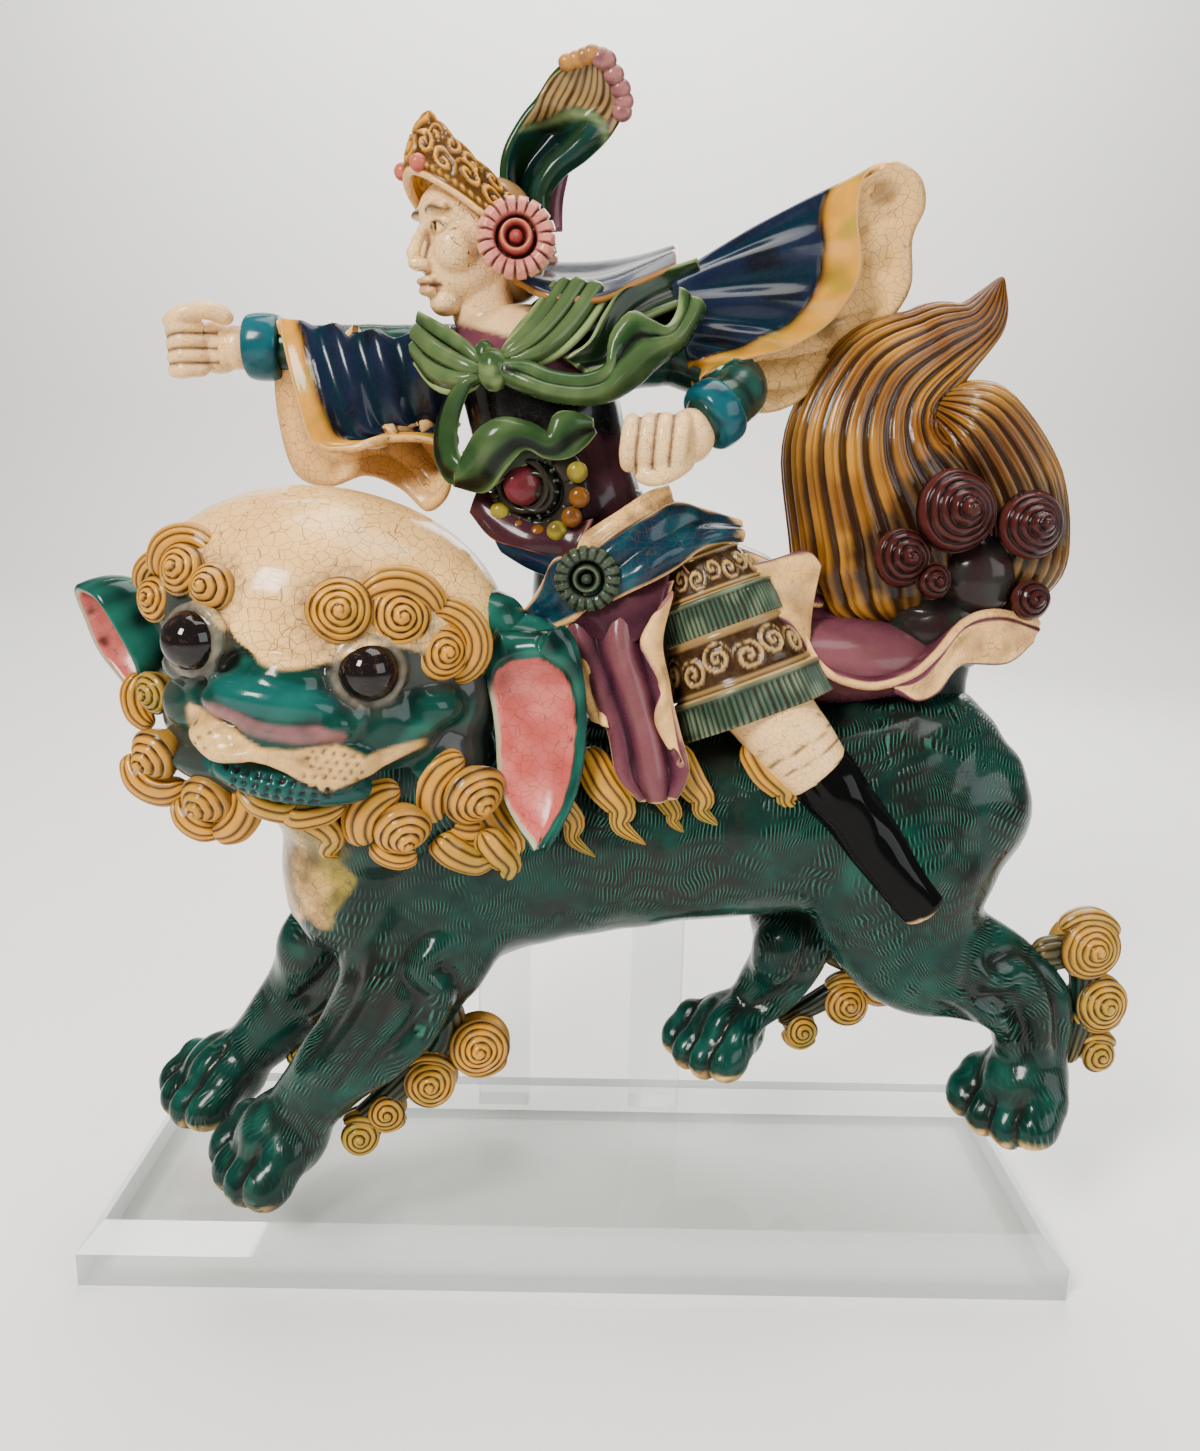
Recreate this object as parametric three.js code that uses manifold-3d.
// A glazed stoneware roof ridge figure: a warrior in flowing robes rides a leaping lion whose
// head is turned to the side. Two clear posts on a clear bevelled slab hold it up from behind.
// Millimetres. +Z is up, the lion leaps towards -X and its face looks along -Y.
// The origin is the centre of the slab's underside.
import * as THREE from "three";
import { ParametricGeometry } from "three/addons/geometries/ParametricGeometry.js";
import { mergeVertices } from "three/addons/utils/BufferGeometryUtils.js";
import Module from "manifold-3d";

const wasm = await Module();
wasm.setup();

// ---------------------------------------------------------------- driving dimensions
const SLAB = { length: 450, depth: 150, height: 27, bevelOut: 10, bevelDown: 11 };
const POST = { width: 27, thickness: 12, spacing: 81, centreY: 42, topZ: 212, foot: 0.3 };
const SLOT_GAP = 0.5; // clearance of a post in its slot in the figure
const CLOTH = 4.2; // thickness of the modelled drapery
const PLAIN_Y = new THREE.Vector3(0, 1, 0);

const MATERIALS = {
  glaze: new THREE.MeshStandardMaterial({ color: 0x1d5e54, roughness: 0.2, metalness: 0 }),
  clear: new THREE.MeshStandardMaterial({
    color: 0xe9efee,
    roughness: 0.05,
    metalness: 0,
    transparent: true,
    opacity: 0.35,
  }),
};

const vec = (x, y, z) => new THREE.Vector3(x, y, z);
const toVectors = (points) => points.map(([x, y, z]) => vec(x, y, z));
const mix = THREE.MathUtils.lerp;
const clamp = THREE.MathUtils.clamp;
const rad = THREE.MathUtils.degToRad;

// ---------------------------------------------------------------- solids from three.js geometry
// Welds a geometry, drops the faces that collapse at its poles, and turns it face out.
function toSolid(geometry, matrix) {
  const bare = geometry.clone();
  bare.deleteAttribute("normal");
  bare.deleteAttribute("uv");
  if (matrix) bare.applyMatrix4(matrix);
  const welded = mergeVertices(bare, 1e-3);
  const at = welded.attributes.position;
  const corner = [vec(0, 0, 0), vec(0, 0, 0), vec(0, 0, 0)];
  const faces = [];
  let volume = 0;
  for (let i = 0; i < welded.index.count; i += 3) {
    const ids = [0, 1, 2].map((k) => welded.index.getX(i + k));
    if (new Set(ids).size < 3) continue;
    ids.forEach((id, k) => corner[k].fromBufferAttribute(at, id));
    volume += corner[0].dot(corner[1].clone().cross(corner[2]));
    faces.push(ids);
  }
  const triVerts = new Uint32Array(faces.flatMap((f) => (volume < 0 ? f.reverse() : f)));
  return new wasm.Manifold(
    new wasm.Mesh({ numProp: 3, vertProperties: at.array, triVerts }),
  );
}

const join = (solids) => solids.reduce((all, next) => all.add(next));

// A tapering limb along a smooth path. Each radius is a number or [in the XZ plane, across it].
// Each end closes within cap of the length, over the given number of rings.
// flutes = [count, depth] raises lengthwise ridges on it.
function limb(path, radii, { sides = 8, steps = 6, cap = 0.07, rings = 1, flutes = [0, 0] } = {}) {
  const curve = new THREE.CatmullRomCurve3(toVectors(path), false, "catmullrom", 0.5);
  const pairs = radii.map((r) => (Array.isArray(r) ? r : [r, r]));
  const endRing = (k) => cap * Math.min(1, k / rings) ** 2;
  const station = (k) => {
    if (k < rings) return endRing(k);
    if (k > steps - rings) return 1 - endRing(steps - k);
    return mix(cap, 1 - cap, (k - rings) / (steps - 2 * rings));
  };
  const shape = (u, v, out) => {
    const t = station(Math.round(v * steps));
    const w = t * (pairs.length - 1);
    const i = Math.min(Math.floor(w), pairs.length - 2);
    const shut = Math.max(0, 1 - t / cap, 1 - (1 - t) / cap);
    const open = Math.sqrt(Math.max(0, 1 - shut * shut));
    const around = u * 2 * Math.PI;
    const ridge = 1 + flutes[1] * Math.cos(flutes[0] * around);
    const along = curve.getTangent(clamp(t, 0.01, 0.99));
    const inPlane = along.clone().cross(PLAIN_Y).normalize();
    const across = inPlane.clone().cross(along);
    const [a, b] = [0, 1].map((k) => mix(pairs[i][k], pairs[i + 1][k], w - i) * open * ridge);
    out.copy(curve.getPoint(t));
    out.addScaledVector(inPlane, a * Math.cos(around));
    out.addScaledVector(across, b * Math.sin(around));
  };
  return toSolid(new ParametricGeometry(shape, sides, steps));
}

function ball([x, y, z], [a, b, c], { sides = 6, rings = 4, turn = [0, 0, 0], base } = {}) {
  const matrix = new THREE.Matrix4().compose(
    vec(x, y, z),
    new THREE.Quaternion().setFromEuler(new THREE.Euler(...turn.map(rad))),
    vec(a, b, c),
  );
  if (base) matrix.premultiply(base);
  return toSolid(new THREE.SphereGeometry(1, sides, rings), matrix);
}

// A thick curved sheet: place(s, t) is its middle surface, and both run from 0 to 1.
function sheet(place, { across = 3, along = 6, thickness = CLOTH } = {}) {
  const ease = (x) => 0.5 - 0.5 * Math.cos(Math.PI * x);
  const at = (s, t) => place(clamp(s, 0, 1), clamp(t, 0, 1));
  const shape = (u, v, out) => {
    const front = u < 0.5;
    const s = ease(front ? 2 * u : 2 - 2 * u);
    const t = ease(v);
    const ds = at(s + 0.02, t).sub(at(s - 0.02, t));
    const dt = at(s, t + 0.02).sub(at(s, t - 0.02));
    const rim = Math.min(1, 14 * Math.min(s, 1 - s), 14 * Math.min(t, 1 - t));
    const side = front ? 1 : -1;
    out.copy(at(s, t)).addScaledVector(ds.cross(dt).normalize(), side * rim * thickness * 0.5);
  };
  return toSolid(new ParametricGeometry(shape, 2 * across, along));
}

// A sheet between two edge curves; bow lifts its middle.
function between(edgeA, edgeB, { bow = [0, 0, 0], ...detail } = {}) {
  const [a, b] = [edgeA, edgeB].map((edge) => new THREE.CatmullRomCurve3(toVectors(edge)));
  const lift = vec(...bow);
  const place = (s, t) => {
    const at = a.getPoint(t).lerp(b.getPoint(t), s);
    return at.addScaledVector(lift, Math.sin(Math.PI * s));
  };
  return sheet(place, detail);
}

// A thin-walled bell, open at t = 1 and closed at t = 0: place(angle, t) is its outside.
function bell(place, { sides = 14, rings = 1, depth = 0.3, wall = CLOTH } = {}) {
  const centreOf = (t) => {
    const middle = vec(0, 0, 0);
    for (let k = 0; k < 8; k++) middle.addScaledVector(place((k * Math.PI) / 4, t), 1 / 8);
    return middle;
  };
  const stacks = 2 * rings + 2;
  const shape = (u, v, out) => {
    const ring = Math.round(v * stacks);
    const angle = u * 2 * Math.PI;
    const t = ring <= rings + 1 ? (ring - 1) / rings : 1 - ((ring - rings - 1) / rings) * (1 - depth);
    const inside = ring > rings + 1;
    const closed = ring === 0 || ring === stacks;
    const middle = centreOf(clamp(t, 0, 1));
    if (closed) return out.copy(middle);
    out.copy(place(angle, clamp(t, 0, 1)));
    if (inside) {
      const inward = middle.sub(out);
      out.addScaledVector(inward, Math.min(0.45, wall / inward.length()));
    }
  };
  return toSolid(new ParametricGeometry(shape, sides, stacks));
}

// A snail curl: a low stepped dome whose axis points along aim, on a cone that roots it.
function curl(centre, aim, radius, height, { root = 0.6 * height, base } = {}) {
  const profile = [
    [0, -root],
    [1, 0],
    [0.62, 0.7 * height],
    [0, 1.15 * height],
  ].map(([r, h]) => new THREE.Vector2(r * radius, h));
  const matrix = new THREE.Matrix4().compose(
    vec(...centre),
    new THREE.Quaternion().setFromUnitVectors(PLAIN_Y, vec(...aim).normalize()),
    vec(1, 1, 1),
  );
  if (base) matrix.premultiply(base);
  return toSolid(new THREE.LatheGeometry(profile, 7), matrix);
}

// ---------------------------------------------------------------- lion
const LION = {
  // spine: place and [half height, half width] of the trunk
  spine: [
    [-104, -25, 186],
    [-62, -19, 196],
    [-14, -12, 204],
    [40, -10, 209],
    [92, -11, 214],
    [146, -13, 225],
    [197, -13, 224],
  ],
  girth: [[46, 46], [57, 54], [54, 55], [50, 55], [48, 54], [51, 53], [45, 46]],
  head: { centre: [-116, -48, 291], lean: 9 }, // lean: degrees towards +X
};

// The paw points along aim in the XZ plane and spreads its toes across it.
function paw(heel, aim, size) {
  const toes = [-1.1, -0.38, 0.38, 1.1];
  const down = rad(aim);
  const parts = [ball(heel, [size * 1.1, size * 0.98, size * 0.86], { turn: [0, -aim, 0] })];
  toes.forEach((spread) => {
    const reach = size * (1.12 - 0.22 * Math.abs(spread));
    const centre = [
      heel[0] - reach * Math.cos(down),
      heel[1] + spread * size * 0.66,
      heel[2] - reach * Math.sin(down) - 0.12 * size,
    ];
    const lobe = [size * 0.72, size * 0.42, size * 0.58];
    parts.push(ball(centre, lobe, { turn: [0, -aim - 18, 0], rings: 3 }));
  });
  return join(parts);
}

// leg: path and radii from hip or shoulder to ankle, then the paw. A tuft, given as places with
// their half widths, grows from the back of the joint, and curls climb it.
const LEGS = [
  {
    path: [[-60, -42, 196], [-68, -50, 166], [-80, -54, 138], [-102, -56, 109], [-134, -55, 70]],
    radii: [[36, 22], [35, 22], [29, 21], [22, 19], [16, 17]],
    paw: { heel: [-139, -54, 60], aim: 36, size: 19.5 },
    curls: [[-45, -46, 109, 13.5], [-67, -49, 94, 12], [-88, -51, 78, 8], [-99, -52, 67, 8]],
    tuft: [[[-72, -48, 142], 20], [[-60, -47, 116], 14], [[-80, -50, 90], 11], [[-106, -52, 68], 7]],
  },
  {
    path: [[-92, 0, 180], [-110, 2, 150], [-126, 4, 126], [-146, 4, 98], [-170, 4, 70]],
    radii: [[34, 26], [29, 22], [25, 20], [20, 18], [16, 16]],
    paw: { heel: [-178, 4, 60], aim: 24, size: 18.5 },
    curls: [[-112, 8, 104, 10], [-128, 8, 88, 8], [-140, 8, 76, 7]],
    tuft: [[[-112, 6, 124], 14], [[-120, 8, 100], 10], [[-146, 8, 76], 6]],
  },
  {
    path: [[146, -34, 222], [143, -41, 186], [153, -43, 160], [186, -41, 145], [207, -40, 128],
      [211, -40, 96]],
    radii: [[49, 26], [43, 27], [34, 24], [24, 20], [22, 18], [16, 16]],
    paw: { heel: [205, -40, 89], aim: 50, size: 18.5 },
    curls: [[232, -38, 159, 14.5], [239, -39, 131, 12.5], [240, -40, 107, 7.5]],
    tuft: [[[204, -38, 150], 17], [[228, -38, 154], 13], [[232, -39, 130], 11], [[226, -40, 102], 9]],
  },
  {
    path: [[130, 12, 206], [117, 17, 172], [111, 18, 146], [104, 16, 122], [86, 14, 98]],
    radii: [[44, 24], [37, 24], [28, 21], [20, 17], [15, 15]],
    paw: { heel: [76, 13, 88], aim: 24, size: 18 },
    curls: [[152, 16, 118, 13], [134, 16, 106, 12], [113, 16, 89, 7.5]],
    tuft: [[[120, 16, 136], 16], [[144, 16, 120], 11], [[126, 16, 104], 10], [[102, 15, 90], 7]],
  },
];

function leg({ path, radii, paw: foot, curls, tuft }) {
  const parts = [limb(path, radii, { sides: 8, steps: 6 }), paw(foot.heel, foot.aim, foot.size)];
  const tuftPath = tuft.map(([at]) => at);
  parts.push(limb(tuftPath, tuft.map(([, half]) => [half, 9]), { sides: 6, steps: 4 }));
  for (const [x, y, z, radius] of curls) {
    parts.push(curl([x, y, z], [0.15, -1, 0.1], radius, 5));
  }
  return join(parts);
}

// Everything on the head is placed in its own axes: +X to the viewer's right, +Y up, +Z forward.
const headBase = new THREE.Matrix4()
  .makeRotationFromEuler(new THREE.Euler(Math.PI / 2, 0, 0))
  .multiply(new THREE.Matrix4().makeRotationZ(-rad(LION.head.lean)))
  .setPosition(...LION.head.centre);
const FACE = {
  skull: { at: [6, 14, -6], size: [74, 52, 58] },
  muzzle: { at: [8, -18, 10], size: [60, 35, 48] },
  eyes: [[-33, 4, 47, -26], [33, 4, 47, 20]], // place and how far each looks outwards
  eyeRadius: 11.6,
  brows: [
    [22, 26, 51, 15.5], [40, 27, 43, 14], [57, 12, 35, 12],
    [-45, 29, 33, 14], [-27, 24, 48, 11], [-58, 14, 25, 10],
  ],
  beard: [
    [-61, -27, 16, 9], [-52, -50, 24, 11], [-27, -60, 33, 12], [2, -58, 38, 9],
    [27, -62, 36, 10], [53, -59, 27, 14], [76, -44, 13, 15],
  ],
};

function outward([x, y, z]) {
  return [x / 60, (y - 4) / 60, (z + 10) / 60];
}

function leafEar(root, tip, side, facing) {
  const [from, to] = toVectors([root, tip]);
  const across = to.clone().sub(from).cross(vec(...facing)).normalize();
  const front = vec(...facing).normalize();
  return sheet(
    (s, t) => {
      const width = 21 * Math.sin(Math.PI * mix(0.16, 0.97, t)) ** 0.8;
      const q = 2 * s - 1;
      return from
        .clone()
        .lerp(to, t)
        .addScaledVector(across, q * width + side * 5 * Math.sin(Math.PI * t))
        .addScaledVector(front, 9 * q * q - 10 * Math.sin(Math.PI * t));
    },
    { thickness: 5.5 },
  );
}

function lionHead() {
  const on = { base: headBase };
  const parts = [
    ball(FACE.skull.at, FACE.skull.size, { sides: 12, rings: 8, ...on }),
    ball(FACE.muzzle.at, FACE.muzzle.size, { sides: 10, rings: 6, ...on }),
    ball([10, -41, 36], [36, 13, 26], { sides: 10, rings: 4, ...on }), // lower jaw and lip
    ball([4, -13, 55], [23, 10, 13], { sides: 8, rings: 4, ...on }), // nose
    ball([50, -9, 30], [16, 13, 14], on), // cheeks
    ball([-38, -12, 36], [13, 13, 13], on),
  ];
  const lip = [[-34, -31, 40], [-16, -30, 56], [8, -30, 62], [32, -34, 54], [58, -22, 34]];
  const lipPlaces = lip.map((p) => vec(...p).applyMatrix4(headBase).toArray());
  parts.push(limb(lipPlaces, [5, 8, 6, 8, 3], { sides: 5, steps: 6 }));
  const size = FACE.eyeRadius;
  for (const [x, y, z, yaw] of FACE.eyes) {
    // the eyeball stands in a raised ring
    const profile = [
      [0, -12], [1.32 * size, -4], [1.18 * size, 3], [0.86 * size, 2], [0.6 * size, 8], [0, 11],
    ].map((p) => new THREE.Vector2(...p));
    const lathe = new THREE.LatheGeometry(profile, 9);
    const matrix = new THREE.Matrix4().makeRotationX(Math.PI / 2);
    matrix.premultiply(new THREE.Matrix4().makeRotationY(rad(yaw))).setPosition(x, y, z);
    parts.push(toSolid(lathe, matrix.premultiply(headBase)));
  }
  for (const [x, y, z, radius] of FACE.brows) {
    parts.push(curl([x, y, z], outward([x, y, z]), radius, 7, { root: 14, ...on }));
  }
  for (const [x, y, z, radius] of FACE.beard) {
    parts.push(curl([x, y, z], outward([x, y, z]), radius + 3, 9, { root: 30, ...on }));
  }
  parts.push(leafEar([-28, -68, 306], [-17, -78, 216], 1, [-0.25, -1, 0.1]));
  parts.push(leafEar([-190, -34, 326], [-197, -40, 268], -1, [-1, 0.2, -0.3]));
  parts.push(ball([-34, -56, 296], [18, 20, 14])); // ear roots
  parts.push(ball([-184, -38, 306], [15, 15, 15]));
  return join(parts);
}

// Flame-shaped mane locks lie on the flank: root, tip and half width.
const MANE_LOCKS = [
  [[-46, -58, 228], [-22, -66, 196], 8],
  [[2, -58, 246], [26, -64, 216], 7],
  [[40, -56, 250], [57, -64, 224], 6],
  [[72, -54, 250], [96, -62, 228], 8],
];

function lock([root, tip, half]) {
  const middle = root.map((value, k) => (value + tip[k]) / 2);
  middle[0] += half * 0.6;
  middle[2] -= half * 0.5;
  return limb([root, middle, tip], [[half, 6], [half, 5], [2, 2]], { sides: 6, steps: 4 });
}

const TAIL = {
  flame: [[152, 0, 306], [142, 0, 340], [124, 0, 374], [130, 0, 402], [150, 0, 419], [168, 0, 432],
    [177, 0, 450]],
  width: [[44, 24], [53, 31], [38, 29], [31, 22], [21, 15], [11, 9], [3, 3]],
  bulb: { at: [175, -2, 344], size: [37, 32, 45] },
  curls: [
    [153, -33, 352, 15], [189, -28, 345, 12], [136, -31, 331, 12], [147, -33, 323, 7],
    [192, -27, 315, 7],
  ],
};

function tail() {
  const parts = [
    limb(TAIL.flame, TAIL.width, { sides: 14, steps: 9, cap: 0.08, flutes: [7, 0.04] }),
    ball(TAIL.bulb.at, TAIL.bulb.size, { sides: 10, rings: 5 }),
    limb([[168, -14, 250], [166, -8, 284], [160, -3, 318]], [22, 20, 24], { steps: 4 }),
  ];
  for (const [x, y, z, radius] of TAIL.curls) {
    parts.push(curl([x, y, z], [0.1, -1, 0.1], radius, 7, { root: 16 }));
    if (radius > 11) parts.push(curl([x, -y - 3, z], [0.1, 1, 0.1], radius, 7, { root: 16 }));
  }
  return join(parts);
}

function lion() {
  const parts = [
    limb(LION.spine, LION.girth, { sides: 14, steps: 8, cap: 0.13, rings: 2 }),
    limb([[-74, -26, 214], [-96, -38, 250], [-108, -46, 280]], [54, 54, 50], { sides: 10, steps: 3 }),
    ball([-102, -30, 190], [34, 42, 46], { sides: 8, rings: 5 }), // chest
    lionHead(),
    tail(),
  ];
  LEGS.forEach((one) => parts.push(leg(one)));
  MANE_LOCKS.forEach((one) => parts.push(lock(one)));
  return join(parts);
}

// ---------------------------------------------------------------- rider
const RIDER = {
  trunk: [[30, -14, 262], [26, -14, 300], [6, -14, 328], [-6, -14, 356], [-20, -13, 388],
    [-34, -12, 412], [-46, -12, 428], [-52, -12, 442]],
  girth: [[34, 32], [31, 30], [25, 26], [27, 28], [33, 33], [27, 34], [12, 12], [11, 11]],
  face: [-56, -13, 452],
};

// A wide sleeve: its wall runs straight from a ring at the arm to a closed, wavy mouth.
// ring.from and ring.to are the ring's radii towards the first and the quarter point of the mouth.
function sleeve({ ring, mouth }) {
  const loop = new THREE.CatmullRomCurve3(toVectors(mouth), true);
  const [centre, from, to] = toVectors([ring.centre, ring.from, ring.to]);
  return bell(
    (angle, t) => {
      const start = centre.clone().addScaledVector(from, Math.cos(angle));
      start.addScaledVector(to, Math.sin(angle));
      return start.lerp(loop.getPoint((angle / (2 * Math.PI)) % 1), t);
    },
    { sides: 16, depth: 0.3 },
  );
}

function rosette([x, y, z], aim, radius, height, petals) {
  const shape = (u, v, out) => {
    const around = u * 2 * Math.PI;
    const profile = [[0, -1], [1, -0.5], [0.95, 0.4], [0.5, 0.5], [0, 1.1]];
    const step = Math.min(profile.length - 1, Math.round(v * (profile.length - 1)));
    const [r, h] = profile[step];
    const scallop = r > 0.52 ? 1 - 0.1 * (Math.round(around / (Math.PI / petals)) % 2) : 1;
    const reach = r * scallop * radius;
    out.set(reach * Math.cos(around), h * height, reach * Math.sin(around));
  };
  const matrix = new THREE.Matrix4().compose(
    vec(x, y, z),
    new THREE.Quaternion().setFromUnitVectors(PLAIN_Y, vec(...aim).normalize()),
    vec(1, 1, 1),
  );
  return toSolid(new ParametricGeometry(shape, 2 * petals, 4), matrix);
}

function riderHead() {
  const [x, y, z] = RIDER.face;
  const plume = new THREE.CatmullRomCurve3(
    toVectors([[-30, -9, 460], [-27, -10, 482], [-12, -14, 502], [0, -11, 528]]),
  );
  const parts = [
    ball([x + 2, y, z + 4], [21, 20, 24], { sides: 8, rings: 5 }),
    ball([x - 4, y - 3, z - 9], [16, 15, 16]), // jaw
    ball([x + 10, y, z - 3], [20, 22, 23], { sides: 7, rings: 5 }), // the cap over the hair
    ball([x - 19, y - 8, z], [5, 4, 7]), // nose
    ball([x + 8, y - 20, z - 11], [4, 4, 9]), // ear
    // crown: high in front, sloping to the back, with a raised brim
    limb([[x + 5, y, z + 8], [x, y, z + 24], [x - 7, y, z + 38], [x - 12, y, z + 55]],
      [[26, 23], [22, 20], [14, 15], [5, 7]], { sides: 10, steps: 5, cap: 0.08 }),
    ball([x - 21, y - 3, z + 20], [4, 4, 4]), // pompon
    rosette([x + 25, y - 24, z + 3], [0, -1, 0.05], 16, 4.5, 6),
    ball([x + 25, y + 22, z + 3], [14, 5, 14]), // its plain twin on the far side
    sheet(
      (s, t) => {
        const q = 2 * s - 1;
        const width = mix(5, 14.5, Math.min(1, t * 1.7)) * Math.sin(Math.PI * mix(0.5, 0.86, t));
        const along = plume.getTangent(clamp(t, 0.01, 0.99));
        const side = along.clone().cross(PLAIN_Y).normalize();
        return plume.getPoint(t).addScaledVector(side, q * width * 1.15).add(vec(0, -5 * q * q, 0));
      },
      { thickness: 5 },
    ),
  ];
  return join(parts);
}

// A clenched hand: palm, four curled fingers side by side along row, and a thumb.
function fist([x, y, z], row, thumb) {
  const parts = [ball([x, y, z], [12, 10, 11])];
  for (let k = 0; k < 4; k++) {
    const at = [x, y, z].map((value, i) => value + row.from[i] + row.step[i] * k);
    parts.push(ball(at, row.size, { sides: 5, rings: 3 }));
  }
  parts.push(limb(thumb, [4, 4, 3.4], { sides: 5, steps: 3 }));
  return join(parts);
}

function riderArms() {
  const cuff = ([x, y, z], aim, radius, width) => {
    const matrix = new THREE.Matrix4().compose(
      vec(x, y, z),
      new THREE.Quaternion().setFromUnitVectors(PLAIN_Y, vec(...aim).normalize()),
      vec(1, 1, 1),
    );
    const profile = [[0, -1], [0.9, -1], [1, 0], [0.9, 1], [0, 1]].map(
      ([r, h]) => new THREE.Vector2(r * radius, h * width * 0.5),
    );
    return toSolid(new THREE.LatheGeometry(profile, 8), matrix);
  };
  return join([
    limb([[-44, 0, 410], [-84, 5, 413], [-124, 8, 415], [-162, 8, 415]], [17, 13, 9.5, 8], {
      steps: 5,
    }),
    cuff([-145, 8, 415.5], [1, 0, 0], 13.5, 15),
    fist([-167, 8, 415], { from: [-8, -6, 6], step: [-0.5, 1, -4.2], size: [7, 8, 3.2] },
      [[-158, -2, 424], [-170, -5, 426], [-180, -2, 422]]),
    sleeve({
      ring: { centre: [-60, 0, 406], from: [0, -20, 3], to: [0, 0, -20] },
      mouth: [[-138, -9, 408], [-134, -15, 380], [-120, -19, 369], [-92, -20, 377], [-66, -17, 374],
        [-61, 2, 350], [-97, 18, 353], [-136, 20, 361], [-143, 18, 392], [-137, 6, 429]],
    }),
    limb([[8, -22, 414], [40, -28, 420], [66, -38, 402], [54, -46, 392], [36, -54, 381]],
      [20, 17, 13, 11, 9], { sides: 7, steps: 7 }),
    cuff([49, -49.5, 388], [-0.75, -0.35, -0.55], 14, 14),
    fist([28, -56, 378], { from: [6, -5, 3], step: [-5.2, -0.6, 0.6], size: [3.6, 8, 11] },
      [[34, -58, 368], [26, -61, 363], [19, -61, 360]]),
    sleeve({
      ring: { centre: [36, -20, 422], from: [4, -12, -16], to: [-4, -16, 14] },
      mouth: [[70, -36, 396], [78, -36, 420], [105, -32, 449], [113, -24, 477], [125, -10, 495],
        [140, -2, 482], [132, 8, 464], [134, 12, 442], [125, 8, 420], [98, -10, 400]],
    }),
  ]);
}

// A ribbon of cloth along a path; its half width, waves and fold depth are given.
function ribbon(path, { half, waves, ruffle, facing, across = 2, along = 7 }) {
  const curve = new THREE.CatmullRomCurve3(toVectors(path));
  const widths = Array.isArray(half) ? half : [half, half];
  return sheet(
    (s, t) => {
      const q = 2 * s - 1;
      const tangent = curve.getTangent(clamp(t, 0.01, 0.99));
      const front = vec(...facing).normalize();
      const side = tangent.cross(front).normalize();
      const w = t * (widths.length - 1);
      const i = Math.min(Math.floor(w), widths.length - 2);
      const width = mix(widths[i], widths[i + 1], w - i);
      const wave = ruffle * Math.sin(waves * Math.PI * t) * (0.35 + 0.65 * Math.abs(q));
      return curve.getPoint(t).addScaledVector(side, q * width).addScaledVector(front, wave);
    },
    { across, along },
  );
}

function scarf() {
  const facing = [-0.2, -1, 0.15];
  const parts = [ball([-41, -43, 400], [7, 6, 7])]; // knot
  // two gathered ends fan out from the knot to the shoulders
  const wavy = { across: 3, along: 4 };
  parts.push(between([[-42, -42, 405], [-34, -40, 420], [-30, -30, 437]],
    [[-42, -43, 396], [-6, -46, 410], [30, -34, 430]], { bow: [-3, -8, 2], ...wavy }));
  parts.push(between([[-42, -42, 405], [-58, -34, 414], [-74, -14, 427]],
    [[-42, -43, 397], [-56, -40, 398], [-70, -26, 402]], { bow: [-2, -4, 0], ...wavy }));
  parts.push(ribbon([[-40, -44, 398], [-10, -49, 393], [16, -50, 400], [30, -47, 420], [42, -38, 442]],
    { half: [6, 11, 12, 13], waves: 6, ruffle: 6, facing }));
  parts.push(ribbon([[-44, -44, 398], [-58, -42, 382], [-52, -45, 368], [-28, -48, 374], [0, -46, 378]],
    { half: [5, 7, 10, 11], waves: 6, ruffle: 5, facing }));
  // the standing collar flap behind the neck
  parts.push(sheet(
    (s, t) => {
      const height = 444 + 8 * (t - 0.5) + 5 * Math.cos(3 * Math.PI * t) - 4 * s;
      return vec(mix(-32, 44, t), mix(-38, 8, s), height);
    },
  ));
  parts.push(ball([6, -14, 430], [36, 26, 16], { sides: 8 })); // shoulders under it
  return join(parts);
}

// A flared peplum round the waist: from and to are [centre, half width in X, half width in Y].
function flare(from, to, slope, waves) {
  return bell(
    (angle, t) => {
      const [c, s] = [Math.cos(angle), Math.sin(angle)];
      const ring = [0, 1, 2].map((k) => mix(from[0][k], to[0][k], t));
      const rx = mix(from[1], to[1], t);
      const ry = mix(from[2], to[2], t);
      const wave = 2.5 * t * Math.sin(waves * angle);
      return vec(ring[0] + rx * c, ring[1] - ry * s, ring[2] + t * (slope * rx * c + wave));
    },
    { sides: 12, depth: 0.4 },
  );
}

function medallion() {
  const centre = vec(-19, -41, 352);
  const aim = vec(-0.35, -1, -0.15).normalize();
  return join([
    rosette(centre.toArray(), aim.toArray(), 23, 4, 7),
    ball(centre.clone().addScaledVector(aim, 3).toArray(), [9, 5, 9], { sides: 8 }),
  ]);
}

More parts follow.
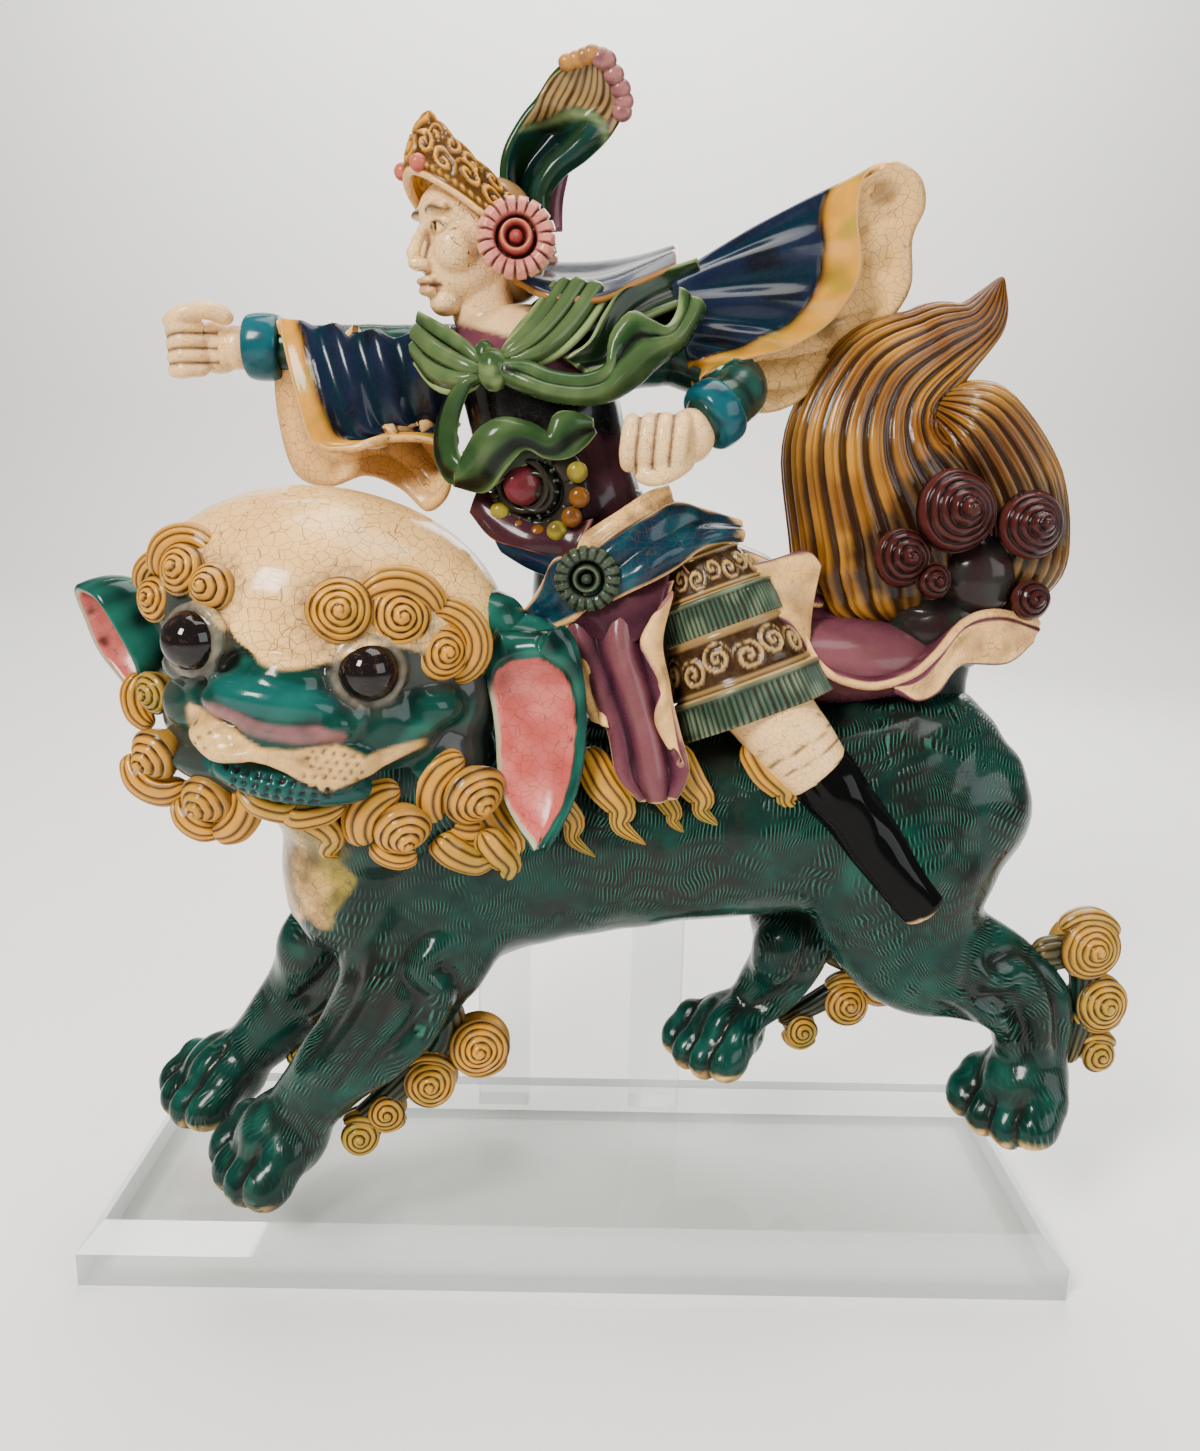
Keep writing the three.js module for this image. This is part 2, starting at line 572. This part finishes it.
// Two tiers of brocade and fringe round the near thigh, then the shin and the boot.
function nearLeg() {
  const tiers = [
    [16, 0], [22, 0.26], [25, 0.3], [26, 0.46], [25, 0.48], [29, 0.78], [31.5, 0.8], [34, 1],
  ];
  const axis = toVectors([[46, -32, 332], [73, -46, 264]]);
  const down = axis[1].clone().sub(axis[0]);
  const shape = (u, v, out) => {
    const around = u * 2 * Math.PI;
    const index = Math.round(v * (tiers.length + 1)) - 1;
    const [radius, t] = index < 0 ? [0, 0] : (tiers[index] ?? [0, 1]);
    const fringed = index >= tiers.length - 2 || index === 2 || index === 3;
    const pleat = fringed ? 1 + 0.03 * Math.cos(7 * around) : 1;
    const inPlane = down.clone().cross(PLAIN_Y).normalize();
    const across = down.clone().normalize().cross(inPlane);
    out.copy(axis[0]).addScaledVector(down, t);
    out.addScaledVector(inPlane, radius * pleat * Math.cos(around));
    out.addScaledVector(across, 0.72 * radius * pleat * Math.sin(around));
  };
  return join([
    toSolid(new ParametricGeometry(shape, 12, tiers.length + 1)),
    limb([[68, -44, 280], [88, -55, 256], [102, -60, 240]], [19, 17, 14.5], { steps: 3 }),
    limb([[96, -58, 248], [106, -61, 236], [121, -62, 218], [136, -64, 198], [148, -64, 184]],
      [13.5, 14, 12, 11.5, 11], { steps: 7, cap: 0.1 }),
  ]);
}

// The far leg, seldom seen, is a plain copy of the near one.
function farLeg() {
  return join([
    limb([[44, 8, 326], [62, 22, 300], [74, 30, 272]], [18, 26, 30], { sides: 7, steps: 3 }),
    limb([[72, 32, 276], [90, 42, 254], [102, 45, 238]], [18, 16, 14], { sides: 6, steps: 3 }),
    limb([[98, 44, 246], [121, 48, 217], [138, 48, 196], [146, 48, 186]], [14, 12, 11.5, 11], {
      sides: 6,
      steps: 4,
    }),
  ]);
}

function skirts() {
  const apron = between(
    [[0, -42, 310], [-2, -50, 298], [3, -58, 276], [15, -66, 240], [21, -68, 233]],
    [[34, -46, 322], [28, -56, 300], [36, -62, 275], [44, -68, 246], [40, -70, 236]],
    { bow: [0, -8, 0], along: 7 },
  );
  const drape = between(
    [[-24, -32, 308], [-19, -42, 299], [-10, -50, 286], [-4, -56, 272]],
    [[8, -42, 310], [6, -50, 298], [6, -56, 284], [4, -60, 270]],
    { bow: [0, -4, 0], along: 5 },
  );
  const cape = between(
    [[56, -2, 336], [84, 4, 325], [104, 8, 314], [128, 8, 312], [152, 6, 312], [182, 2, 310],
      [204, -4, 300]],
    [[58, -35, 336], [99, -38, 320], [94, -44, 303], [103, -48, 286], [136, -48, 270],
      [162, -40, 282], [188, -26, 296]],
    { bow: [0, 0, 5], across: 3, along: 10, thickness: 5 },
  );
  const fall = ribbon([[46, -26, 340], [72, -34, 332], [94, -38, 316], [100, -40, 296]],
    { half: [10, 13, 13, 12], waves: 3, ruffle: 5, facing: [0.2, -1, 0.3], along: 6 });
  const under = ball([112, -12, 284], [56, 36, 20], { sides: 8 });
  return join([apron, drape, cape, fall, under]);
}

function rider() {
  return join([
    limb(RIDER.trunk, RIDER.girth, { sides: 10, steps: 9, cap: 0.06 }),
    riderHead(),
    riderArms(),
    scarf(),
    flare([[2, -14, 340], 26, 27], [[17, -16, 320], 44, 40], 0.38, 6),
    flare([[-2, -14, 356], 26, 28], [[-8, -14, 342], 38, 32], -0.42, 5),
    rosette([-1, -53, 322], [-0.1, -1, 0], 12.5, 6, 10),
    medallion(),
    nearLeg(),
    farLeg(),
    skirts(),
  ]);
}

// ---------------------------------------------------------------- stand
function slab() {
  const { length, depth, height, bevelOut, bevelDown } = SLAB;
  const geometry = new THREE.BoxGeometry(length, depth, height, 1, 1, 2);
  const at = geometry.attributes.position;
  for (let i = 0; i < at.count; i++) {
    const [x, y, z] = [at.getX(i), at.getY(i), at.getZ(i)];
    if (z > 0.1) at.setXY(i, x - Math.sign(x) * bevelOut, y - Math.sign(y) * bevelOut);
    const level = z > 0.1 ? height : z > -0.1 ? height - bevelDown : 0;
    at.setZ(i, level);
  }
  return geometry;
}

function post() {
  const tall = POST.topZ - SLAB.height - POST.foot;
  return new THREE.BoxGeometry(POST.width, POST.thickness, tall);
}

const postCentre = (side) =>
  vec((side * POST.spacing) / 2, POST.centreY, (POST.topZ + SLAB.height + POST.foot) / 2);

function slotFor(side) {
  const grown = new THREE.BoxGeometry(
    POST.width + 2 * SLOT_GAP,
    POST.thickness + 2 * SLOT_GAP,
    POST.topZ + 2 * SLOT_GAP,
  );
  const centre = postCentre(side);
  return toSolid(grown, new THREE.Matrix4().makeTranslation(centre.x, centre.y, POST.topZ / 2));
}

// ---------------------------------------------------------------- the assembly
function asGeometry(solid) {
  const { numProp, numVert, vertProperties, triVerts } = solid.getMesh();
  const position = new Float32Array(numVert * 3);
  for (let i = 0; i < numVert; i++) {
    position.set(vertProperties.subarray(i * numProp, i * numProp + 3), i * 3);
  }
  const geometry = new THREE.BufferGeometry();
  geometry.setAttribute("position", new THREE.BufferAttribute(position, 3));
  return geometry.setIndex(new THREE.BufferAttribute(triVerts, 1));
}

function figure() {
  const cut = lion().add(rider()).subtract(slotFor(-1)).subtract(slotFor(1));
  const shells = cut.decompose().sort((a, b) => b.volume() - a.volume());
  return asGeometry(shells[0]); // the one outer shell
}

function named(name, geometry, material, place) {
  const mesh = new THREE.Mesh(geometry, material);
  mesh.name = name;
  if (place) mesh.position.copy(place);
  return mesh;
}

const part = new THREE.Group();
part.name = "ridge_figure_on_stand";
part.add(named("glazed_figure", figure(), MATERIALS.glaze));
part.add(named("stand_slab", slab(), MATERIALS.clear));
part.add(named("stand_post_left", post(), MATERIALS.clear, postCentre(-1)));
part.add(named("stand_post_right", post(), MATERIALS.clear, postCentre(1)));

export default part;
